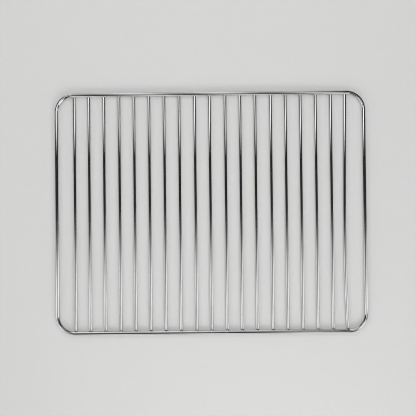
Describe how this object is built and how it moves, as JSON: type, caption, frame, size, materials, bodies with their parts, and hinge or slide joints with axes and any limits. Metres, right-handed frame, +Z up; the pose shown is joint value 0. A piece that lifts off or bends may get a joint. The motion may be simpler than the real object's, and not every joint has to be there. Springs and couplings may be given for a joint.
{
  "type": "cooling rack",
  "caption": "Flat rectangular wire rack: a round-cornered loop of bright wire with parallel thinner wires welded across it, to hold baked goods in the air while they cool.",
  "frame": {"origin": "middle of the rack in the plane of the surface that it lies on", "axes": "+X along the rack's long side, +Y across it along the grid wires, +Z up"},
  "size_m": [0.4162, 0.3234, 0.005],
  "materials": {
    "frame_wire": "bright plated round wire",
    "grid_wire": "bright plated round wire"
  },
  "bodies": {
    "root": {"frame": "frame_wire", "grid_wire_01": "grid_wire", "grid_wire_02": "grid_wire", "grid_wire_03": "grid_wire", "grid_wire_04": "grid_wire", "grid_wire_05": "grid_wire", "grid_wire_06": "grid_wire", "grid_wire_07": "grid_wire", "grid_wire_08": "grid_wire", "grid_wire_09": "grid_wire", "grid_wire_10": "grid_wire", "grid_wire_11": "grid_wire", "grid_wire_12": "grid_wire", "grid_wire_13": "grid_wire", "grid_wire_14": "grid_wire", "grid_wire_15": "grid_wire", "grid_wire_16": "grid_wire", "grid_wire_17": "grid_wire", "grid_wire_18": "grid_wire", "grid_wire_19": "grid_wire"}
  },
  "joints": []
}
